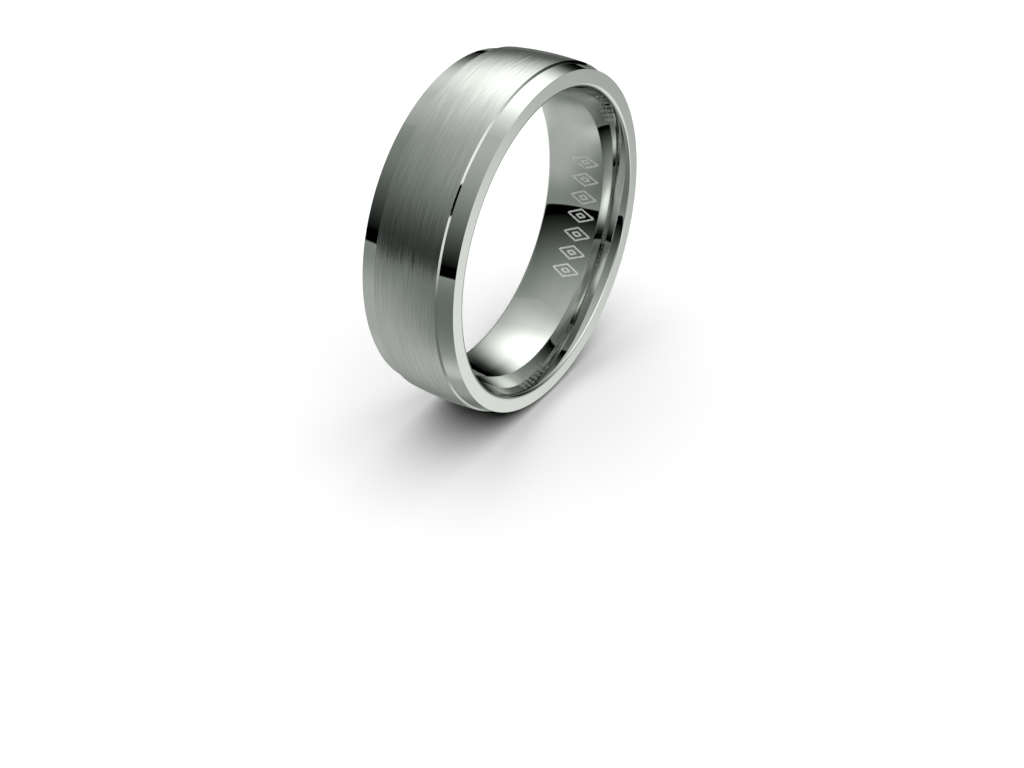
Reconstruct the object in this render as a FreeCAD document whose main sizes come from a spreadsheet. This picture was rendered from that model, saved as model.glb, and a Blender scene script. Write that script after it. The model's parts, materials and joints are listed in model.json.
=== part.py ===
import FreeCAD, Part
import math
import os
import Sketcher
from FreeCAD import Placement, Rotation, Vector

# Wedding band made of four pieces: a comfort-fit liner, a brushed centre band that
# slides over its raised seat, and two polished edge rails pressed on from the ends.
# The ring stands upright: +Z is up, its axis is Y, and the origin is the middle of the bore.

SIZES = {
    "ring_width": 6.0,  # end face to end face
    "bore_radius": 8.875,  # the finger size, at the narrowest part of the bore
    "land_width": 0.4,  # straight part of the bore, before it curves away
    "edge_round": 0.25,  # rounding from the bore on to each end face
    "liner_radius": 9.46,  # rail seats, at both ends of the liner
    "seat_radius": 9.60,  # raised seat for the centre band
    "band_width": 4.0,  # brushed surface, between the tops of its bevels
    "bevel_run": 0.065,  # each bevel's run along the ring's axis
    "face_radius": 10.23,  # outer edge of each end face
    "step_radius": 10.38,  # rail surface where it meets the centre band
    "bevel_radius": 10.51,  # edge of the brushed surface
    "crown_radius": 10.615,  # middle of the brushed surface
}

doc = FreeCAD.newDocument("WeddingBand")

sheet = doc.addObject("Spreadsheet::Sheet", "Sizes")
for row, (alias, value) in enumerate(SIZES.items(), start=1):
    sheet.set(f"A{row}", alias)
    sheet.set(f"B{row}", str(value))
    sheet.setAlias(f"B{row}", alias)
doc.recompute()


def new_body(label):
    """An empty body with its own label and placement."""
    body = doc.addObject("PartDesign::Body", label)
    body.Label = label
    body.Placement = Placement()
    return body


def section_sketch(body):
    """A sketch of the ring's section: across is the radius, up is the ring's axis."""
    sketch = body.newObject("Sketcher::SketchObject", body.Label + "_section")
    plane = next(f for f in body.Origin.OriginFeatures if f.Role == "XY_Plane")
    sketch.AttachmentSupport = (plane, "")
    sketch.MapMode = "FlatFace"
    return sketch


def line(sketch, start, end):
    """A straight edge. Each end is (radius, distance along the axis)."""
    return sketch.addGeometry(Part.LineSegment(Vector(*start, 0), Vector(*end, 0)), False)


def arc(sketch, centre, radius, first, last):
    """An arc that runs anticlockwise between two angles, in radians."""
    circle = Part.Circle(Vector(*centre, 0), Vector(0, 0, 1), radius)
    return sketch.addGeometry(Part.ArcOfCircle(circle, first, last), False)


def join(sketch, kind, first, second):
    """Joins two ends, as Coincident or Tangent. Each is (edge, 1 for its start or 2 for its end)."""
    sketch.addConstraint(Sketcher.Constraint(kind, *first, *second))


def mirror(sketch, first, second):
    """Keeps two points symmetric about the middle of the ring's width."""
    sketch.addConstraint(Sketcher.Constraint("Symmetric", *first, *second, -1))


def upright(sketch, *edges):
    """Keeps edges parallel to the ring's axis."""
    for edge in edges:
        sketch.addConstraint(Sketcher.Constraint("Vertical", edge))


def across(sketch, *edges):
    """Keeps edges radial."""
    for edge in edges:
        sketch.addConstraint(Sketcher.Constraint("Horizontal", edge))


def bound(sketch, name, constraint, expression):
    """Adds a dimension with a name, and binds it to the sheet."""
    index = sketch.addConstraint(constraint)
    sketch.renameConstraint(index, name)
    sketch.setExpression("Constraints." + name, expression)


def at_radius(sketch, name, point, value, expression):
    """Sets a point's radius."""
    bound(sketch, name, Sketcher.Constraint("DistanceX", -1, 1, *point, value), expression)


def at_height(sketch, name, point, value, expression):
    """Sets a point's distance along the axis, from the middle of the ring's width."""
    bound(sketch, name, Sketcher.Constraint("DistanceY", -1, 1, *point, value), expression)


def revolve(body, sketch):
    """Turns the section once round the ring's axis."""
    ring = body.newObject("PartDesign::Revolution", body.Label + "_ring")
    ring.Profile = sketch
    ring.ReferenceAxis = (sketch, ["V_Axis"])
    ring.Angle = 360.0
    sketch.Visibility = False
    body.Tip = ring
    return ring


START, END, CENTRE = 1, 2, 3
half = SIZES["ring_width"] / 2
seat_half = SIZES["band_width"] / 2 + SIZES["bevel_run"]
SEAT_HALF = "Sizes.band_width / 2 + Sizes.bevel_run"

# Liner. Outside, two rail seats with the raised band seat between them, whose shoulders
# locate the rails. Inside, a straight land that curves away and rounds on to both ends.
liner = new_body("comfort_fit_liner")
sketch = section_sketch(liner)
outer = SIZES["liner_radius"]
seat = SIZES["seat_radius"]
bore = SIZES["bore_radius"]
round_ = SIZES["edge_round"]
land = SIZES["land_width"] / 2

# The curve from the land runs smoothly into the end's rounding. Its radius follows from
# how far the rounding's centre stands out from the bore (rise) and from the land (run).
rise = outer - bore
run = half - round_ - land
curve = (rise**2 + run**2 - round_**2) / (2 * (rise - round_))
meet = math.atan2(run, rise - curve)

low_seat = line(sketch, (outer, -half), (outer, -seat_half))
low_step = line(sketch, (outer, -seat_half), (seat, -seat_half))
band_seat = line(sketch, (seat, -seat_half), (seat, seat_half))
top_step = line(sketch, (seat, seat_half), (outer, seat_half))
top_seat = line(sketch, (outer, seat_half), (outer, half))
top_round = arc(sketch, (outer, half - round_), round_, math.pi / 2, meet)
top_curve = arc(sketch, (bore + curve, land), curve, meet, math.pi)
straight = line(sketch, (bore, land), (bore, -land))
low_curve = arc(sketch, (bore + curve, -land), curve, math.pi, 2 * math.pi - meet)
low_round = arc(sketch, (outer, round_ - half), round_, 2 * math.pi - meet, 1.5 * math.pi)
join(sketch, "Coincident", (low_seat, END), (low_step, START))
join(sketch, "Coincident", (low_step, END), (band_seat, START))
join(sketch, "Coincident", (band_seat, END), (top_step, START))
join(sketch, "Coincident", (top_step, END), (top_seat, START))
join(sketch, "Coincident", (top_seat, END), (top_round, START))
join(sketch, "Tangent", (top_round, END), (top_curve, START))
join(sketch, "Tangent", (top_curve, END), (straight, START))
join(sketch, "Tangent", (straight, END), (low_curve, START))
join(sketch, "Tangent", (low_curve, END), (low_round, START))
join(sketch, "Coincident", (low_round, END), (low_seat, START))
upright(sketch, low_seat, top_seat)
across(sketch, low_step, top_step)
sketch.addConstraint(Sketcher.Constraint("Vertical", top_round, CENTRE, top_round, START))
sketch.addConstraint(Sketcher.Constraint("Vertical", low_round, CENTRE, low_round, END))
sketch.addConstraint(Sketcher.Constraint("Equal", top_round, low_round))
mirror(sketch, (band_seat, START), (band_seat, END))
mirror(sketch, (low_seat, START), (top_seat, END))
mirror(sketch, (straight, START), (straight, END))
at_radius(sketch, "rail_seat", (top_seat, END), outer, "Sizes.liner_radius")
at_radius(sketch, "band_seat", (band_seat, END), seat, "Sizes.seat_radius")
at_radius(sketch, "bore", (straight, START), bore, "Sizes.bore_radius")
at_height(sketch, "end_face", (top_seat, END), half, "Sizes.ring_width / 2")
at_height(sketch, "shoulder", (band_seat, END), seat_half, SEAT_HALF)
at_height(sketch, "land", (straight, START), land, "Sizes.land_width / 2")
bound(sketch, "end_round", Sketcher.Constraint("Radius", top_round, round_), "Sizes.edge_round")
revolve(liner, sketch)

# Centre band. Its domed outside is the brushed surface. A small bevel at each edge drops
# to the level of the rails, and its flat sides meet them.
band = new_body("brushed_centre_band")
sketch = section_sketch(band)
step = SIZES["step_radius"]
edge = SIZES["bevel_radius"]
crown = SIZES["crown_radius"]
edge_half = SIZES["band_width"] / 2
rise = crown - edge
dome_radius = (rise**2 + edge_half**2) / (2 * rise)
lean = math.asin(edge_half / dome_radius)
inside = line(sketch, (seat, seat_half), (seat, -seat_half))
low_side = line(sketch, (seat, -seat_half), (step, -seat_half))
low_bevel = line(sketch, (step, -seat_half), (edge, -edge_half))
dome = arc(sketch, (crown - dome_radius, 0), dome_radius, -lean, lean)
top_bevel = line(sketch, (edge, edge_half), (step, seat_half))
top_side = line(sketch, (step, seat_half), (seat, seat_half))
join(sketch, "Coincident", (inside, END), (low_side, START))
join(sketch, "Coincident", (low_side, END), (low_bevel, START))
join(sketch, "Coincident", (low_bevel, END), (dome, START))
join(sketch, "Coincident", (dome, END), (top_bevel, START))
join(sketch, "Coincident", (top_bevel, END), (top_side, START))
join(sketch, "Coincident", (top_side, END), (inside, START))
across(sketch, top_side)
mirror(sketch, (inside, START), (inside, END))
mirror(sketch, (top_side, START), (low_side, END))
mirror(sketch, (dome, START), (dome, END))
sketch.addConstraint(Sketcher.Constraint("PointOnObject", dome, CENTRE, -1))
at_radius(sketch, "inside", (inside, START), seat, "Sizes.seat_radius")
at_radius(sketch, "rail_level", (top_side, START), step, "Sizes.step_radius")
at_radius(sketch, "brushed_edge", (dome, END), edge, "Sizes.bevel_radius")
at_height(sketch, "side", (top_side, START), seat_half, SEAT_HALF)
at_height(sketch, "brushed_half", (dome, END), edge_half, "Sizes.band_width / 2")
RISE = "(Sizes.crown_radius - Sizes.bevel_radius)"
DOME = f"({RISE} ^ 2 + (Sizes.band_width / 2) ^ 2) / (2 * {RISE})"
bound(sketch, "dome", Sketcher.Constraint("Radius", dome, dome_radius), DOME)
revolve(band, sketch)


def edge_rail(label):
    """A rail at the +Y end: its flat side meets the centre band, and its outside slopes
    down to the sharp edge of the end face."""
    body = new_body(label)
    sketch = section_sketch(body)
    face = SIZES["face_radius"]
    inside = line(sketch, (outer, half), (outer, seat_half))
    side = line(sketch, (outer, seat_half), (step, seat_half))
    slope = line(sketch, (step, seat_half), (face, half))
    end = line(sketch, (face, half), (outer, half))
    join(sketch, "Coincident", (inside, END), (side, START))
    join(sketch, "Coincident", (side, END), (slope, START))
    join(sketch, "Coincident", (slope, END), (end, START))
    join(sketch, "Coincident", (end, END), (inside, START))
    upright(sketch, inside)
    across(sketch, side, end)
    at_radius(sketch, "inside", (inside, START), outer, "Sizes.liner_radius")
    at_radius(sketch, "step", (side, END), step, "Sizes.step_radius")
    at_radius(sketch, "face", (end, START), face, "Sizes.face_radius")
    at_height(sketch, "side", (side, START), seat_half, SEAT_HALF)
    at_height(sketch, "end", (end, START), half, "Sizes.ring_width / 2")
    revolve(body, sketch)
    return body


# The two rails are the same piece: the front one is turned to face the other way.
back_rail = edge_rail("back_edge_rail")
front_rail = edge_rail("front_edge_rail")
front_rail.Placement = Placement(Vector(0, 0, 0), Rotation(Vector(0, 0, 1), 180))

doc.recompute()
for item in doc.Objects:
    if "Invalid" in item.State or "Error" in item.State:
        raise RuntimeError(f"{item.Label} failed: {item.State}")

os.makedirs("parts", exist_ok=True)
for body in (liner, band, front_rail, back_rail):
    shape = body.Shape
    if shape.isNull() or not shape.isValid():
        raise RuntimeError(f"{body.Label} has no valid shape")
    shape.exportStep(f"parts/{body.Label}.step")
    print(body.Label, f"{shape.Volume:.2f} mm3", shape.BoundBox)
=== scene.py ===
"""Wedding band: a polished comfort-fit liner, a brushed centre band and two polished edge rails.

The ring stands on its rim with its axis along Y. Every metal piece is turned from one section,
so each is made by the same Geometry Nodes lathe. The script runs in Blender 4.5 and reads only
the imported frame.
"""

import json
import math

import bpy
from bpy.props import FloatProperty, FloatVectorProperty, IntProperty, PointerProperty
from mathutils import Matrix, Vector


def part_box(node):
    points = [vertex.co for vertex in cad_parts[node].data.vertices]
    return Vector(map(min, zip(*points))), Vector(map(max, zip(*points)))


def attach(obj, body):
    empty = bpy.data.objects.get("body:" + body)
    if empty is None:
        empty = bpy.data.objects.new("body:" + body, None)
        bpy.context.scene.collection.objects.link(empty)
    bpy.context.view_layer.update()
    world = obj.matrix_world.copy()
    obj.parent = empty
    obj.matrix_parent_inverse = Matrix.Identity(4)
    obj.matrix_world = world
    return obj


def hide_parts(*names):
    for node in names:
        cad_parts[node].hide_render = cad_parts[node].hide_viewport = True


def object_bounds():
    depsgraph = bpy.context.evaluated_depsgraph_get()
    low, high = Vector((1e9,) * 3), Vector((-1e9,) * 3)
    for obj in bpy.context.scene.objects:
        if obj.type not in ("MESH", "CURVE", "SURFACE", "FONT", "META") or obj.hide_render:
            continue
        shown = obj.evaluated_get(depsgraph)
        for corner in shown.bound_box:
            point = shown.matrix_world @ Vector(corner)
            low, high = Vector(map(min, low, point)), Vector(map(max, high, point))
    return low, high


bl_info = {
    "name": "Wedding Band",
    "version": (1, 0, 0),
    "blender": (4, 5, 0),
    "location": "3D View > Sidebar > Ring",
    "description": "Turns a brushed wedding band with polished rails and sets up its studio",
    "category": "Object",
}

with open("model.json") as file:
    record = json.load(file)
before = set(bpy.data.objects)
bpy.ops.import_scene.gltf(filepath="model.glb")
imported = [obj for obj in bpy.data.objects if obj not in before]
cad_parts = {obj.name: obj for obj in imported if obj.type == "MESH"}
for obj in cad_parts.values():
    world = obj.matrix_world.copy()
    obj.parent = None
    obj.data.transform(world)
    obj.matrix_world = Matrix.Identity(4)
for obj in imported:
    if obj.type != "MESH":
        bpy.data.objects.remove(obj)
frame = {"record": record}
CAD_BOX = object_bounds()

MM = 0.001
DEGREES = 180.0 / math.pi

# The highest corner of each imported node.
LINER_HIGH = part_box("comfort_fit_liner")[1]
BAND_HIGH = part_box("brushed_centre_band")[1]
RAIL_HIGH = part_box("back_edge_rail")[1]
FINGER_BORE = next(m for m in frame["record"]["mounts"] if m["name"] == "finger_bore")


# ---------------------------------------------------------------------------
# Sizes and colours that a user would change
# ---------------------------------------------------------------------------


class BandSizes(bpy.types.PropertyGroup):
    """The ring's section. Radii are from the finger axis, widths along it."""

    bore_radius: FloatProperty(
        name="Bore radius",
        description="Finger size, at the narrowest part of the bore",
        default=FINGER_BORE["dims"]["r_mm"] * MM,
        unit="LENGTH",
    )
    land_width: FloatProperty(
        name="Land width",
        description="Straight part of the bore, before it curves away",
        default=FINGER_BORE["dims"]["length_mm"] * MM,
        unit="LENGTH",
    )
    half_width: FloatProperty(
        name="Half width",
        description="From the middle of the ring to an end face",
        default=LINER_HIGH.y,
        unit="LENGTH",
    )
    edge_round: FloatProperty(
        name="Edge round",
        description="Rounding from the bore on to each end face",
        default=0.25 * MM,
        unit="LENGTH",
    )
    rail_seat: FloatProperty(
        name="Rail seat radius",
        description="Where the edge rails are pressed on to the liner",
        default=9.46 * MM,
        unit="LENGTH",
    )
    band_seat: FloatProperty(
        name="Band seat radius",
        description="Raised middle of the liner, under the centre band",
        default=LINER_HIGH.x,
        unit="LENGTH",
    )
    shoulder: FloatProperty(
        name="Shoulder",
        description="From the middle of the ring to where a rail meets the centre band",
        default=BAND_HIGH.y,
        unit="LENGTH",
    )
    bevel_run: FloatProperty(
        name="Bevel run",
        description="Width of the bright bevel along the finger axis",
        default=0.065 * MM,
        unit="LENGTH",
    )
    face_radius: FloatProperty(
        name="Face radius",
        description="Outer edge of each end face",
        default=10.23 * MM,
        unit="LENGTH",
    )
    step_radius: FloatProperty(
        name="Step radius",
        description="Rail surface where it meets the centre band",
        default=RAIL_HIGH.x,
        unit="LENGTH",
    )
    bevel_radius: FloatProperty(
        name="Bevel radius",
        description="Edge of the brushed surface",
        default=10.51 * MM,
        unit="LENGTH",
    )
    crown_radius: FloatProperty(
        name="Crown radius",
        description="Middle of the brushed surface",
        default=BAND_HIGH.x,
        unit="LENGTH",
    )
    broken_edge: FloatProperty(
        name="Broken edge",
        description="Tiny rounding that polishing leaves on an outer edge",
        default=0.01 * MM,
        unit="LENGTH",
    )
    seam_edge: FloatProperty(
        name="Seam edge",
        description="Rounding where two pieces meet flush",
        default=0.004 * MM,
        unit="LENGTH",
    )
    turns: IntProperty(
        name="Steps round the ring",
        description="Faces in one turn of the lathe",
        default=600,
        min=48,
        max=900,
    )


class OrnamentSizes(bpy.types.PropertyGroup):
    """The row of plain lozenges marked inside the bore."""

    count: IntProperty(
        name="Lozenges",
        description="How many lozenges stand in the row",
        default=7,
        min=1,
        max=30,
    )
    pitch: FloatProperty(
        name="Pitch",
        description="From one lozenge to the next, round the bore",
        default=1.24 * MM,
        unit="LENGTH",
    )
    width: FloatProperty(
        name="Width",
        description="Lozenge across its sides",
        default=0.86 * MM,
        unit="LENGTH",
    )
    height: FloatProperty(
        name="Height",
        description="Lozenge from point to point, along the finger axis",
        default=1.9 * MM,
        unit="LENGTH",
    )
    stroke: FloatProperty(
        name="Stroke",
        description="Width of the marked line",
        default=0.12 * MM,
        unit="LENGTH",
    )
    lift: FloatProperty(
        name="Lift",
        description="How far the frosted line stands proud of the polished bore",
        default=0.002 * MM,
        unit="LENGTH",
    )
    middle: FloatProperty(
        name="Middle",
        description="Where the middle of the row lies, turned from +X towards +Z",
        default=math.radians(-17.0),
        subtype="ANGLE",
    )


class MetalFinish(bpy.types.PropertyGroup):
    """Colour and finish of the metal."""

    metal: FloatVectorProperty(
        name="Metal",
        description="Colour of the bare metal",
        default=(0.61, 0.625, 0.605),
        subtype="COLOR",
        min=0.0,
        max=1.0,
    )
    polish: FloatProperty(
        name="Polish",
        description="Roughness of the mirror-polished surfaces",
        default=0.03,
        subtype="FACTOR",
        min=0.0,
        max=1.0,
    )
    brushing: FloatProperty(
        name="Brushing",
        description="Roughness of the brushed surface between its lines",
        default=0.26,
        subtype="FACTOR",
        min=0.0,
        max=1.0,
    )
    frost_metallic: FloatProperty(
        name="Frost metallic",
        description="How metallic the frosted marks look; the rest is matte white scatter",
        default=0.6,
        min=0.0,
        max=1.0,
    )
    line_spacing: FloatProperty(
        name="Line spacing",
        description="Usual distance between brush lines",
        default=0.085 * MM,
        unit="LENGTH",
    )
    line_length: FloatProperty(
        name="Line length",
        description="Usual length of a brush line",
        default=2.8 * MM,
        unit="LENGTH",
    )


class StudioSettings(bpy.types.PropertyGroup):
    """Camera, floor and light of the product shot."""

    azimuth: FloatProperty(
        name="Azimuth",
        description="Direction the camera looks in, from +Y towards +X",
        default=math.radians(57.3),
        subtype="ANGLE",
    )
    tilt: FloatProperty(
        name="Tilt",
        description="How far the camera looks down from the horizon",
        default=math.radians(35.632),
        subtype="ANGLE",
    )
    lens: FloatProperty(
        name="Lens",
        description="Focal length on a 36 mm wide sensor",
        default=42.756,
        subtype="DISTANCE_CAMERA",
    )
    camera_place: FloatVectorProperty(
        name="Camera place",
        description="Where the camera stands",
        default=(-53.756 * MM, -34.622 * MM, 34.809 * MM),
        subtype="TRANSLATION",
        unit="LENGTH",
    )
    floor_size: FloatProperty(
        name="Floor size",
        description="Side of the square floor",
        default=3.0,
        unit="LENGTH",
    )
    floor_wash: FloatProperty(
        name="Floor wash",
        description="Strength of the overhead light that only the floor shows",
        default=4.3,
    )
    wash_spread: FloatProperty(
        name="Wash spread",
        description="Apparent width of the overhead light; a wider one softens the floor's shade",
        default=math.radians(105.0),
        subtype="ANGLE",
    )
    dim_colour: FloatVectorProperty(
        name="Dim colour",
        description="Grey-green tint of the darker walls and table that the metal mirrors",
        default=(0.89, 1.0, 0.9),
        subtype="COLOR",
        min=0.0,
        max=1.0,
    )
    light_colour: FloatVectorProperty(
        name="Light colour",
        description="Slightly green tint of the brightest lights that the metal mirrors",
        default=(0.965, 1.0, 0.96),
        subtype="COLOR",
        min=0.0,
        max=1.0,
    )


# ---------------------------------------------------------------------------
# Node trees: one wrapper for a socket, one for a tree
# ---------------------------------------------------------------------------


class Value:
    """One output socket. Arithmetic on it adds Math nodes to its tree."""

    def __init__(self, graph, socket):
        self.graph = graph
        self.socket = socket

    def out(self, name):
        """Another output of the same node."""
        return Value(self.graph, self.socket.node.outputs[name])

    def math(self, operation, *others):
        numbers = dict(enumerate((self, *others)))
        return self.graph.node("ShaderNodeMath", {"operation": operation}, numbers)

    def __add__(self, other):
        return self.math("ADD", other)

    def __radd__(self, other):
        return self.math("ADD", other)

    def __sub__(self, other):
        return self.math("SUBTRACT", other)

    def __rsub__(self, other):
        return self.graph.node("ShaderNodeMath", {"operation": "SUBTRACT"}, {0: other, 1: self})

    def __mul__(self, other):
        return self.math("MULTIPLY", other)

    def __rmul__(self, other):
        return self.math("MULTIPLY", other)

    def __truediv__(self, other):
        return self.math("DIVIDE", other)

    def __abs__(self):
        return self.math("ABSOLUTE")

    def fade(self, low, high, start=0.0, end=1.0):
        """A smooth change from start to end while this value goes from low to high."""
        limits = {"From Min": low, "From Max": high, "To Min": start, "To Max": end}
        settings = {"interpolation_type": "SMOOTHSTEP"}
        return self.graph.node("ShaderNodeMapRange", settings, {"Value": self, **limits})


class Graph:
    """A node tree and the ways this script adds to it."""

    def __init__(self, tree):
        self.tree = tree

    def node(self, kind, settings=None, values=None):
        """Adds a node, sets it up, then fills its inputs with numbers or links."""
        node = self.tree.nodes.new(kind)
        for name, setting in (settings or {}).items():
            setattr(node, name, setting)
        for name, value in (values or {}).items():
            socket = node.inputs[name]
            if isinstance(value, Value):
                self.tree.links.new(value.socket, socket)
            else:
                socket.default_value = value
        shown = [s for s in node.outputs if s.enabled]
        return Value(self, shown[0]) if shown else None

    def vector_math(self, operation, *values):
        numbers = dict(enumerate(values))
        return self.node("ShaderNodeVectorMath", {"operation": operation}, numbers)

    def scaled(self, vector, factor):
        values = {0: vector, "Scale": factor}
        return self.node("ShaderNodeVectorMath", {"operation": "SCALE"}, values)

    def vector(self, x, y, z):
        return self.node("ShaderNodeCombineXYZ", None, {"X": x, "Y": y, "Z": z})

    def split(self, vector):
        x = self.node("ShaderNodeSeparateXYZ", None, {"Vector": vector})
        return x, x.out("Y"), x.out("Z")

    def noise(self, vector, scale, detail=2.0, roughness=0.5):
        values = {"Vector": vector, "Scale": scale, "Detail": detail, "Roughness": roughness}
        return self.node("ShaderNodeTexNoise", {"noise_dimensions": "3D"}, values)

    def mix_colours(self, factor, first, second):
        node = self.tree.nodes.new("ShaderNodeMix")
        node.data_type = "RGBA"
        named = {s.identifier: s for s in node.inputs}
        places = {"Factor_Float": factor, "A_Color": first, "B_Color": second}
        for identifier, value in places.items():
            if isinstance(value, Value):
                self.tree.links.new(value.socket, named[identifier])
            else:
                named[identifier].default_value = value
        return Value(self, next(s for s in node.outputs if s.identifier == "Result_Color"))


def new_material(name):
    """An empty material's graph, and the material."""
    material = bpy.data.materials.new(name)
    material.use_nodes = True
    material.node_tree.nodes.clear()
    return Graph(material.node_tree), material


def colour(rgb, factor=1.0):
    return tuple(min(1.0, c * factor) for c in rgb) + (1.0,)


# ---------------------------------------------------------------------------
# Finishes
# ---------------------------------------------------------------------------


def ring_coordinates(graph):
    """Object coordinates in millimetres: the whole vector, and its three parts."""
    place = graph.node("ShaderNodeTexCoord").out("Object")
    millimetres = graph.scaled(place, 1.0 / MM)
    return millimetres, *graph.split(millimetres)


# Keeps the metal from brightening too much where it is seen edge on.
EDGE_TINT = (0.72, 0.72, 0.72, 1.0)


def metal_shader(graph, base, roughness, normal, metallic=1.0):
    """A bare metal surface and the material's output."""
    values = {"Base Color": base, "Metallic": metallic, "Roughness": roughness, "Normal": normal}
    values["Specular Tint"] = EDGE_TINT
    shader = graph.node("ShaderNodeBsdfPrincipled", None, values)
    graph.node("ShaderNodeOutputMaterial", None, {"Surface": shader})


# How much rougher the haziest patch of polish is, and the depth of the buffing hairlines.
POLISH_HAZE = 0.02
HAIRLINE_DEPTH = 0.000006 * MM
# The metal's tones, as factors of its colour, from the darkest to the lightest.
POLISHED_TONES = (0.97, 1.03)
BRUSHED_TONES = (0.87, 1.08)
FROSTED_TONES = (1.3, 1.6)
# How far brush lines tilt the surface round the ring and along its axis.
TILT_ROUND = 0.22
TILT_SIDEWAYS = 0.24
# Grains in a millimetre of the frosted lines, and how deep they are.
FROST_GRAIN = 60.0
FROST_DEPTH = 0.0005 * MM
# How far brush lines wander sideways, and the softness of the brushing's edge, in millimetres.
WANDER = 0.12
BRUSH_FADE = 0.01


def metal_tones(graph, factor, finish, tones):
    """The metal's colour, varied between two tones."""
    dark, light = tones
    return graph.mix_colours(factor, colour(finish.metal, dark), colour(finish.metal, light))


def polished_metal(name, finish):
    """Mirror polish: slight colour change, hazy patches and hairlines left by the buffing wheel."""
    graph, material = new_material(name)
    place, x, y, z = ring_coordinates(graph)
    patches = graph.noise(place, 0.35, detail=3.0)
    hairlines = graph.noise(graph.vector(x * 0.6, y * 14.0, z * 0.6), 1.0, detail=4.0, roughness=0.7)
    base = metal_tones(graph, patches, finish, POLISHED_TONES)
    rough = finish.polish + POLISH_HAZE * (patches * 0.6 + hairlines * 0.4)
    settings = {"Strength": 1.0, "Distance": HAIRLINE_DEPTH, "Height": hairlines}
    normal = graph.node("ShaderNodeBump", None, settings)
    metal_shader(graph, base, rough, normal)
    return material


def brushed_metal(name, finish, sizes):
    """Lines brushed round the ring, uneven in length, depth and direction, between polished bevels."""
    graph, material = new_material(name)
    place, x, y, z = ring_coordinates(graph)
    along = MM / finish.line_length
    across = MM / finish.line_spacing

    wander = (graph.noise(place, 0.3, detail=1.0) - 0.5) * WANDER

    def lines(length, width, slant, shift):
        """Long thin noise round the ring, its lines slanting a little to one side."""
        side = y + wander + (x * slant + z * slant)
        round_scale = along * length
        sideways = side * (across * width) + shift
        stretched = graph.vector(x * round_scale, sideways, z * round_scale)
        return graph.noise(stretched, 1.0, detail=4.0, roughness=0.65)

    fine = lines(1.0, 1.2, 0.02, 0.0)
    coarse = lines(0.7, 0.5, -0.015, 31.0)
    tilt_round = lines(1.3, 1.3, -0.025, 67.0) - 0.5
    tilt_side = lines(1.0, 1.5, 0.015, 113.0) - 0.5

    bevel_start = (sizes.shoulder - sizes.bevel_run) / MM
    brushed = abs(y).fade(bevel_start - BRUSH_FADE, bevel_start + BRUSH_FADE, 1.0, 0.0)
    round_the_ring = graph.vector_math("NORMALIZE", graph.vector(z * -1.0, 0.0, x))
    surface = graph.node("ShaderNodeNewGeometry").out("Normal")
    lean_round = graph.scaled(round_the_ring, tilt_round * brushed * TILT_ROUND)
    lean_sideways = graph.vector(0.0, tilt_side * brushed * TILT_SIDEWAYS, 0.0)
    leaning = graph.vector_math("ADD", surface, lean_round)
    leaning = graph.vector_math("ADD", leaning, lean_sideways)
    normal = graph.vector_math("NORMALIZE", leaning)

    tone = (fine * 0.7 + coarse * 0.3).fade(0.3, 0.7)
    base = metal_tones(graph, tone, finish, BRUSHED_TONES)
    rough = (finish.brushing + 0.08 * (coarse - 0.5)) * brushed + finish.polish * (1.0 - brushed)
    metal_shader(graph, base, rough, normal)
    return material


def frosted_mark(name, finish):
    """Matte white lines, part bare metal and part white scatter."""
    graph, material = new_material(name)
    place, *_ = ring_coordinates(graph)
    grain = graph.noise(place, FROST_GRAIN)
    base = metal_tones(graph, grain, finish, FROSTED_TONES)
    settings = {"Strength": 0.5, "Distance": FROST_DEPTH, "Height": grain}
    normal = graph.node("ShaderNodeBump", None, settings)
    metal_shader(graph, base, 0.5 + grain * 0.2, normal, finish.frost_metallic)
    return material


# ---------------------------------------------------------------------------
# Sections: closed outlines as (radius, place along the axis), anticlockwise
# ---------------------------------------------------------------------------

# Steps in a softened corner, in the liner's rounded edge and in a long curve.
CORNER_STEPS = 4
EDGE_STEPS = 12
CURVE_STEPS = 20


def arc(centre, radius, first, last, steps=CURVE_STEPS):
    """Points along an arc, each with no rounding of its own. Angles are in radians."""
    turn = (last - first) / steps
    angles = [first + turn * i for i in range(steps + 1)]
    return [(centre[0] + radius * math.cos(a), centre[1] + radius * math.sin(a), 0.0) for a in angles]


def mirrored(half):
    """Closes a half outline, drawn where the axial place is positive, with its mirror image."""
    return half + [(radius, -side, edge) for radius, side, edge in reversed(half)]


def softened(outline):
    """Rounds each corner that asks for it, and gives every point its outward direction."""
    points = []
    directions = []
    count = len(outline)
    for i, (radius, side, edge) in enumerate(outline):
        before = outline[i - 1]
        after = outline[(i + 1) % count]
        arriving = math.atan2(side - before[1], radius - before[0])
        leaving = math.atan2(after[1] - side, after[0] - radius)
        turn = math.remainder(leaving - arriving, math.tau)
        if edge == 0.0:
            points.append((radius, side))
            directions.append(arriving + turn / 2 - math.pi / 2)
            continue
        back = edge * math.tan(abs(turn) / 2)
        hand = math.copysign(edge, turn)
        start = (radius - back * math.cos(arriving), side - back * math.sin(arriving))
        centre = (start[0] - hand * math.sin(arriving), start[1] + hand * math.cos(arriving))
        for step in range(CORNER_STEPS + 1):
            outward = arriving + turn * step / CORNER_STEPS - math.pi / 2
            points.append((centre[0] + hand * math.cos(outward), centre[1] + hand * math.sin(outward)))
            directions.append(outward)
    return points, directions


def comfort_curve(s):
    """The bore's curve from its straight land to the rounded edge: its radius and where it ends."""
    rise = s.rail_seat - s.bore_radius
    run = s.half_width - s.edge_round - s.land_width / 2
    radius = (rise**2 + run**2 - s.edge_round**2) / (2 * (rise - s.edge_round))
    return radius, math.atan2(run, rise - radius)


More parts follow.
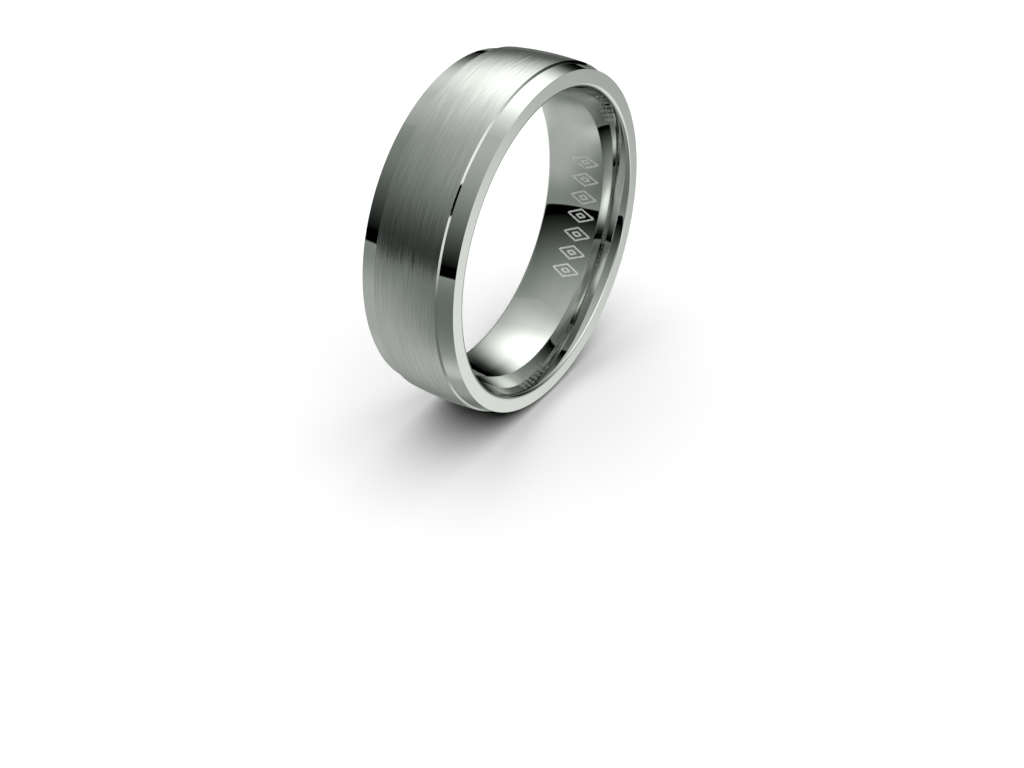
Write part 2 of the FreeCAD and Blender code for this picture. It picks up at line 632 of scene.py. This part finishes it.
def liner_outline(s):
    """Raised band seat between two rail seats outside, a comfort-fit curve inside."""
    curve, meet = comfort_curve(s)
    end_centre = (s.rail_seat, s.half_width - s.edge_round)
    curve_centre = (s.bore_radius + curve, s.land_width / 2)
    half = [
        (s.band_seat, s.shoulder, s.seam_edge),
        (s.rail_seat, s.shoulder, s.seam_edge),
        (s.rail_seat, s.half_width, s.seam_edge),
        *arc(end_centre, s.edge_round, math.pi / 2, meet, EDGE_STEPS)[1:],
        *arc(curve_centre, curve, meet, math.pi)[1:],
    ]
    return mirrored(half)


def band_outline(s):
    """A shallow dome between two steep bevels."""
    half_flat = s.shoulder - s.bevel_run
    sag = s.crown_radius - s.bevel_radius
    dome = (half_flat**2 + sag**2) / (2 * sag)
    lean = math.asin(half_flat / dome)
    crown = arc((s.crown_radius - dome, 0.0), dome, -lean, lean, 2 * CURVE_STEPS)
    return [
        (s.step_radius, -s.shoulder, s.seam_edge),
        (*crown[0][:2], s.broken_edge),
        *crown[1:-1],
        (*crown[-1][:2], s.broken_edge),
        (s.step_radius, s.shoulder, s.seam_edge),
        (s.band_seat, s.shoulder, s.seam_edge),
        (s.band_seat, -s.shoulder, s.seam_edge),
    ]


def rail_outline(s, side):
    """A four-sided rail: seat, inner side, sloping rim and end face. Side is -1 or 1."""
    outline = [
        (s.rail_seat, s.shoulder, s.seam_edge),
        (s.step_radius, s.shoulder, s.seam_edge),
        (s.face_radius, s.half_width, s.broken_edge),
        (s.rail_seat, s.half_width, s.seam_edge),
    ]
    if side > 0:
        return outline
    return [(radius, -place, edge) for radius, place, edge in reversed(outline)]


# ---------------------------------------------------------------------------
# The lathe
# ---------------------------------------------------------------------------


def add_socket(tree, name, kind, direction="INPUT"):
    return tree.interface.new_socket(name, in_out=direction, socket_type=kind)


def lathe_tree():
    """Carries a wire section once round the ring axis and gives it its material."""
    tree = bpy.data.node_groups.new("ring_lathe", "GeometryNodeTree")
    add_socket(tree, "Section", "NodeSocketGeometry")
    add_socket(tree, "Steps", "NodeSocketInt")
    add_socket(tree, "Path Radius", "NodeSocketFloat")
    add_socket(tree, "Metal", "NodeSocketMaterial")
    add_socket(tree, "Ring", "NodeSocketGeometry", "OUTPUT")
    graph = Graph(tree)
    given = graph.node("NodeGroupInput")
    circle = {"Resolution": given.out("Steps"), "Radius": given.out("Path Radius")}
    path = graph.node("GeometryNodeCurvePrimitiveCircle", None, circle)
    path = graph.node("GeometryNodeSetCurveNormal", {"mode": "Z_UP"}, {"Curve": path})
    section = graph.node("GeometryNodeMeshToCurve", None, {"Mesh": given.out("Section")})
    swept = {"Curve": path, "Profile Curve": section}
    ring = graph.node("GeometryNodeCurveToMesh", None, swept)
    upright = {"Geometry": ring, "Rotation": (math.pi / 2, 0.0, 0.0)}
    ring = graph.node("GeometryNodeTransform", None, upright)
    ring = graph.node("GeometryNodeSetShadeSmooth", None, {"Geometry": ring})
    ring = graph.node("GeometryNodeRealizeInstances", None, {"Geometry": ring})
    metal = {"Geometry": ring, "Material": given.out("Metal")}
    ring = graph.node("GeometryNodeSetMaterial", None, metal)
    graph.node("NodeGroupOutput", None, {"Ring": ring})
    return tree


def run_nodes(name, mesh, tree, inputs):
    """Runs a tree on a mesh and returns the result as a plain object."""
    maker = bpy.data.objects.new(name + "_maker", mesh)
    bpy.context.collection.objects.link(maker)
    modifier = maker.modifiers.new("nodes", "NODES")
    modifier.node_group = tree
    for item in tree.interface.items_tree:
        if item.in_out == "INPUT" and item.name in inputs:
            modifier[item.identifier] = inputs[item.name]
    graph = bpy.context.evaluated_depsgraph_get()
    made = bpy.data.meshes.new_from_object(maker.evaluated_get(graph), depsgraph=graph)
    maker.modifiers.remove(modifier)
    bpy.data.objects.remove(maker)
    if not made.polygons:
        raise RuntimeError(f"{name} came out empty")
    made.name = name
    piece = bpy.data.objects.new(name, made)
    bpy.context.collection.objects.link(piece)
    return piece


def turned(name, outline, sizes, material):
    """A solid of revolution whose shading follows its true section."""
    points, directions = softened(outline)
    count = len(points)
    path_radius = sizes.bore_radius
    wire = bpy.data.meshes.new(name + "_section")
    corners = [(radius - path_radius, side, 0.0) for radius, side in points]
    wire.from_pydata(corners, [(i, (i + 1) % count) for i in range(count)], [])
    tree = bpy.data.node_groups.get("ring_lathe") or lathe_tree()
    inputs = {"Steps": sizes.turns, "Path Radius": path_radius, "Metal": material}
    piece = run_nodes(name, wire, tree, inputs)
    bpy.data.meshes.remove(wire)
    normals = []
    for i in range(len(piece.data.vertices)):
        turn = math.tau * (i // count) / sizes.turns
        outward = math.cos(directions[i % count])
        endways = math.sin(directions[i % count])
        normals.append((outward * math.cos(turn), endways, outward * math.sin(turn)))
    piece.data.normals_split_custom_set_from_vertices(normals)
    return piece


def join_ring(piece, slot, *nodes):
    """Ties a finished piece to the ring's body and hides the nodes it stands for. Its finish slot is
    not used.
    """
    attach(piece, "root")
    if nodes:
        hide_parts(*nodes)


# ---------------------------------------------------------------------------
# The row of lozenges inside the bore
# ---------------------------------------------------------------------------

# Size of the small lozenge inside each large one, and the cuts that let a side follow the bore.
INNER_LOZENGE = 0.34
SIDE_CUTS = 9


def ornament_tree():
    """Lays a row of lozenge outlines flat, then wraps it on to the curved bore."""
    tree = bpy.data.node_groups.new("bore_lozenges", "GeometryNodeTree")
    add_socket(tree, "Geometry", "NodeSocketGeometry")
    for name in ("Pitch", "Width", "Height", "Stroke", "Lift", "Middle"):
        add_socket(tree, name, "NodeSocketFloat")
    for name in ("Bore Radius", "Half Land", "Comfort Curve"):
        add_socket(tree, name, "NodeSocketFloat")
    add_socket(tree, "Count", "NodeSocketInt")
    add_socket(tree, "Metal", "NodeSocketMaterial")
    add_socket(tree, "Marks", "NodeSocketGeometry", "OUTPUT")
    graph = Graph(tree)
    given = graph.node("NodeGroupInput")
    stroke = {"Width": given.out("Stroke"), "Height": given.out("Lift") * 2.0}
    profile = graph.node("GeometryNodeCurvePrimitiveQuadrilateral", None, stroke)

    def lozenge(size):
        half_height = given.out("Height") * (size / 2)
        shape = {
            "Width": given.out("Width") * size,
            "Bottom Height": half_height,
            "Top Height": half_height,
        }
        outline = graph.node("GeometryNodeCurvePrimitiveQuadrilateral", {"mode": "KITE"}, shape)
        return graph.node("GeometryNodeSubdivideCurve", None, {"Curve": outline, "Cuts": SIDE_CUTS})

    pair = graph.node("GeometryNodeJoinGeometry", None, {"Geometry": lozenge(1.0)})
    tree.links.new(lozenge(INNER_LOZENGE).socket, pair.socket.node.inputs["Geometry"])
    pair = graph.node("GeometryNodeSetCurveNormal", {"mode": "Z_UP"}, {"Curve": pair})
    marks = graph.node("GeometryNodeCurveToMesh", None, {"Curve": pair, "Profile Curve": profile})

    step = graph.vector(given.out("Pitch"), 0.0, 0.0)
    start = given.out("Pitch") * (given.out("Count") - 1.0) * -0.5
    row = {"Count": given.out("Count"), "Start Location": graph.vector(start, 0.0, 0.0), "Offset": step}
    row = graph.node("GeometryNodeMeshLine", {"mode": "OFFSET"}, row)
    marks = graph.node("GeometryNodeInstanceOnPoints", None, {"Points": row, "Instance": marks})
    marks = graph.node("GeometryNodeRealizeInstances", None, {"Geometry": marks})

    x, y, z = graph.split(graph.node("GeometryNodeInputPosition"))
    beyond = (abs(y) - given.out("Half Land")).math("MAXIMUM", 0.0)
    curve = given.out("Comfort Curve")
    fall = curve - (curve * curve - beyond * beyond).math("SQRT")
    radius = given.out("Bore Radius") + fall - z
    turn = given.out("Middle") + x / given.out("Bore Radius")
    place = graph.vector(radius * turn.math("COSINE"), y, radius * turn.math("SINE"))
    marks = graph.node("GeometryNodeSetPosition", None, {"Geometry": marks, "Position": place})
    flat = {"Geometry": marks, "Shade Smooth": False}
    marks = graph.node("GeometryNodeSetShadeSmooth", None, flat)
    metal = {"Geometry": marks, "Material": given.out("Metal")}
    marks = graph.node("GeometryNodeSetMaterial", None, metal)
    graph.node("NodeGroupOutput", None, {"Marks": marks})
    return tree


# ---------------------------------------------------------------------------
# Studio
# ---------------------------------------------------------------------------

# The ceiling: brightness straight up, and how fast it falls away towards the horizon.
CEILING_GLOW = 0.7
CEILING_FALL = 1.6
# The pale table: its brightness, then how much is added straight down and at its far edge,
# and how fast each of those falls away.
TABLE_GLOW = 0.2
UNDER_GLOW = 0.2
UNDER_FALL = 3.0
FAR_GLOW = 0.25
FAR_FALL = 6.0
# Half the height of the dark gap between the walls and the table, and its softness, in degrees.
HORIZON_HALF = 3.4
HORIZON_SOFT = 0.3
# The brightness over which the light changes from the dim colour to the bright one.
TINT_RANGE = (0.0, 0.8)
# Brightness of the faint pane in the ceiling, the slants and softness of its two straight
# edges, and how high above the horizon it fades in.
SKYLIGHT = 0.06
SIDE_SLANT = 0.3
SIDE_SOFT = 0.006
NEAR_SLANT = (2.8, 1.2)
NEAR_SOFT = 0.015
SKYLIGHT_START = (0.3, 0.5)
# The floor's darkest and lightest tones.
FLOOR_TONES = ((0.8, 0.8, 0.8), (0.82, 0.82, 0.82))


def soft_panel(graph, direction, azimuth, height, half_size, soft_edge, strength):
    """A soft rectangle of light on the walls or the table, in degrees. Azimuth is from +Y to +X."""
    x, y, elevation = direction
    turn = math.radians(azimuth)
    ahead = x * math.sin(turn) + y * math.cos(turn)
    aside = x * math.cos(turn) - y * math.sin(turn)
    sideways = abs(aside.math("ARCTAN2", ahead) * DEGREES)
    upwards = abs(elevation - height)
    width, tall = half_size
    soft_side, soft_end = soft_edge
    across = sideways.fade(width - soft_side, width + soft_side, 1.0, 0.0)
    along = upwards.fade(tall - soft_end, tall + soft_end, 1.0, 0.0)
    return across * along * strength


# Each light: azimuth, height, (half width, half height), (side softness, end softness), strength.
WALL_PANELS = {
    "key_softbox": (60, 45, (22, 20), (16, 18), 1.2),
    "key_spill": (45, 55, (35, 25), (25, 20), 0.5),
    "back_softbox": (172, 18, (30, 30), (22, 20), 1.35),
    "back_left_fill": (-145, 30, (20, 20), (15, 15), 0.2),
    "side_strip": (120, 40, (15, 24), (12, 12), 0.25),
    "low_glow": (15, 12, (30, 16), (15, 12), 0.35),
}
TABLE_PANELS = {
    "front_card": (-15, -42, (42, 27), (18, 12), 0.36),
    "foot_card": (-55, -68, (25, 8), (12, 8), 0.2),
    "bright_patch": (20, -32, (22, 15), (14, 8), 0.5),
    "low_glow": (10, -8, (30, 9), (15, 6), 0.25),
    "right_card": (65, -35, (16, 12), (10, 8), 0.2),
    "back_card": (136, -41, (25, 20), (14, 12), 0.95),
    "back_edge": (166, -8, (28, 11), (14, 8), 0.85),
}


def skylight(graph, direction):
    """A faint pane in the ceiling, on the +X side of two straight slanting edges."""
    x, y, z = direction
    side_edge = (x + y * SIDE_SLANT).fade(-SIDE_SOFT, SIDE_SOFT)
    near_edge = (x * NEAR_SLANT[0] - y + z * NEAR_SLANT[1]).fade(-NEAR_SOFT, NEAR_SOFT)
    return side_edge * near_edge * z.fade(*SKYLIGHT_START) * SKYLIGHT


def studio_world(scene):
    """A dark horizon line between a bright ceiling and a pale table, with soft panels."""
    world = bpy.data.worlds.new("studio")
    scene.world = world
    world.use_nodes = True
    world.node_tree.nodes.clear()
    # Only the overhead wash lights the matte floor.
    world.cycles_visibility.diffuse = False
    graph = Graph(world.node_tree)
    x, y, z = graph.split(graph.node("ShaderNodeTexCoord").out("Generated"))
    elevation = z.math("ARCSINE") * DEGREES
    ceiling = z.math("MAXIMUM", 0.0).math("POWER", CEILING_FALL) * CEILING_GLOW
    walls = ceiling + skylight(graph, (x, y, z))
    for panel in WALL_PANELS.values():
        walls = walls + soft_panel(graph, (x, y, elevation), *panel)
    below = (z * -1.0).math("MAXIMUM", 0.0)
    table = TABLE_GLOW + below.math("POWER", UNDER_FALL) * UNDER_GLOW
    table = table + (1.0 - below).math("POWER", FAR_FALL) * FAR_GLOW
    for panel in TABLE_PANELS.values():
        table = table + soft_panel(graph, (x, y, elevation), *panel)
    above = elevation.math("GREATER_THAN", 0.0)
    light = above * walls + (1.0 - above) * table
    horizon = abs(elevation).fade(HORIZON_HALF - HORIZON_SOFT, HORIZON_HALF + HORIZON_SOFT)
    light = (light * horizon).math("MAXIMUM", 0.0)
    seen = graph.node("ShaderNodeLightPath").out("Is Camera Ray")
    strength = seen + (1.0 - seen) * light
    dim = colour(scene.ring_studio.dim_colour)
    tint = graph.mix_colours(light.fade(*TINT_RANGE), dim, colour(scene.ring_studio.light_colour))
    tint = graph.mix_colours(seen, tint, (1.0, 1.0, 1.0, 1.0))
    values = {"Color": tint, "Strength": strength}
    background = graph.node("ShaderNodeBackground", None, values)
    graph.node("ShaderNodeOutputWorld", None, {"Surface": background})


def pale_floor(settings):
    """A wide matte floor at the ring's lowest point."""
    half = settings.floor_size / 2
    low = CAD_BOX[0].z
    corners = [(-half, -half, low), (half, -half, low), (half, half, low), (-half, half, low)]
    mesh = bpy.data.meshes.new("pale_floor")
    mesh.from_pydata(corners, [], [(0, 1, 2, 3)])
    graph, material = new_material("pale_floor")
    place, *_ = ring_coordinates(graph)
    mottle = graph.noise(place, 0.05)
    base = graph.mix_colours(mottle, *(colour(tone) for tone in FLOOR_TONES))
    values = {"Base Color": base, "Roughness": 0.9, "Specular IOR Level": 0.0}
    shader = graph.node("ShaderNodeBsdfPrincipled", None, values)
    graph.node("ShaderNodeOutputMaterial", None, {"Surface": shader})
    mesh.materials.append(material)
    floor = bpy.data.objects.new("pale_floor", mesh)
    floor.visible_glossy = False
    bpy.context.collection.objects.link(floor)


def overhead_wash(settings):
    """A wide soft light from above that the metal doesn't mirror."""
    lamp = bpy.data.lights.new("floor_wash", "SUN")
    lamp.energy = settings.floor_wash
    lamp.angle = settings.wash_spread
    light = bpy.data.objects.new("floor_wash", lamp)
    light.visible_glossy = False
    bpy.context.collection.objects.link(light)


def product_camera(scene, settings):
    """The camera, above the ring and to one side, so that it looks down into the bore."""
    camera = bpy.data.cameras.new("product_camera")
    camera.sensor_width = 36.0
    camera.lens = settings.lens
    camera.clip_start = 1.0 * MM
    camera.clip_end = 10.0
    eye = bpy.data.objects.new("product_camera", camera)
    eye.location = settings.camera_place
    eye.rotation_euler = (math.pi / 2 - settings.tilt, 0.0, -settings.azimuth)
    bpy.context.collection.objects.link(eye)
    scene.camera = eye


# ---------------------------------------------------------------------------
# Operators
# ---------------------------------------------------------------------------


class RING_OT_liner(bpy.types.Operator):
    """Turn the polished comfort-fit liner"""

    bl_idname = "ring.liner"
    bl_label = "Comfort-fit Liner"

    def execute(self, context):
        scene = context.scene
        metal = polished_metal("polished_bore", scene.ring_finish)
        outline = liner_outline(scene.ring_sizes)
        liner = turned("liner", outline, scene.ring_sizes, metal)
        join_ring(liner, "polished_bore", "comfort_fit_liner")
        return {"FINISHED"}


class RING_OT_bore_marks(bpy.types.Operator):
    """Mark a row of frosted lozenges inside the bore"""

    bl_idname = "ring.bore_marks"
    bl_label = "Bore Lozenges"

    def execute(self, context):
        s = context.scene.ring_sizes
        marks = context.scene.ring_ornament
        inputs = {
            "Pitch": marks.pitch,
            "Width": marks.width,
            "Height": marks.height,
            "Stroke": marks.stroke,
            "Lift": marks.lift,
            "Middle": marks.middle,
            "Bore Radius": s.bore_radius,
            "Half Land": s.land_width / 2,
            "Comfort Curve": comfort_curve(s)[0],
            "Count": marks.count,
            "Metal": frosted_mark("frosted_mark", context.scene.ring_finish),
        }
        blank = bpy.data.meshes.new("blank")
        piece = run_nodes("bore_lozenges", blank, ornament_tree(), inputs)
        join_ring(piece, "polished_bore")
        return {"FINISHED"}


class RING_OT_centre_band(bpy.types.Operator):
    """Turn the domed centre band and brush it round the ring"""

    bl_idname = "ring.centre_band"
    bl_label = "Brushed Centre Band"

    def execute(self, context):
        scene = context.scene
        metal = brushed_metal("brushed_grain", scene.ring_finish, scene.ring_sizes)
        outline = band_outline(scene.ring_sizes)
        band = turned("centre_band", outline, scene.ring_sizes, metal)
        join_ring(band, "brushed_metal", "brushed_centre_band")
        return {"FINISHED"}


class RING_OT_edge_rails(bpy.types.Operator):
    """Turn the two polished rails that close the ring's edges"""

    bl_idname = "ring.edge_rails"
    bl_label = "Edge Rails"

    def execute(self, context):
        scene = context.scene
        metal = polished_metal("polished_rail", scene.ring_finish)
        for name, side in (("front_rail", -1), ("back_rail", 1)):
            outline = rail_outline(scene.ring_sizes, side)
            rail = turned(name, outline, scene.ring_sizes, metal)
            join_ring(rail, "polished_edge", name.replace("rail", "edge_rail"))
        return {"FINISHED"}


class RING_OT_studio(bpy.types.Operator):
    """Set up the floor, the soft light and the camera"""

    bl_idname = "ring.studio"
    bl_label = "Studio"

    def execute(self, context):
        scene = context.scene
        scene.view_settings.view_transform = "Standard"
        # Without this the metal throws its own light into the shade under the ring.
        scene.cycles.caustics_reflective = False
        pale_floor(scene.ring_studio)
        overhead_wash(scene.ring_studio)
        studio_world(scene)
        product_camera(scene, scene.ring_studio)
        return {"FINISHED"}


class RING_PT_panel(bpy.types.Panel):
    """The ring's pieces and their sizes"""

    bl_label = "Wedding Band"
    bl_idname = "RING_PT_panel"
    bl_space_type = "VIEW_3D"
    bl_region_type = "UI"
    bl_category = "Ring"

    def draw(self, context):
        for operator in OPERATORS:
            self.layout.operator(operator.bl_idname)
        for group in SETTINGS:
            box = self.layout.box()
            settings = getattr(context.scene, group)
            for name in settings.__annotations__:
                box.prop(settings, name)


OPERATORS = (RING_OT_studio, RING_OT_liner, RING_OT_bore_marks, RING_OT_centre_band, RING_OT_edge_rails)
SETTINGS = {
    "ring_sizes": BandSizes,
    "ring_ornament": OrnamentSizes,
    "ring_finish": MetalFinish,
    "ring_studio": StudioSettings,
}


def register():
    for group in (*SETTINGS.values(), *OPERATORS, RING_PT_panel):
        bpy.utils.register_class(group)
    for name, group in SETTINGS.items():
        setattr(bpy.types.Scene, name, PointerProperty(type=group))


def unregister():
    for name in SETTINGS:
        delattr(bpy.types.Scene, name)
    for group in reversed((*SETTINGS.values(), *OPERATORS, RING_PT_panel)):
        bpy.utils.unregister_class(group)


def main():
    register()
    bpy.ops.ring.studio()
    bpy.ops.ring.liner()
    bpy.ops.ring.bore_marks()
    bpy.ops.ring.centre_band()
    bpy.ops.ring.edge_rails()


if __name__ == "__main__":
    main()
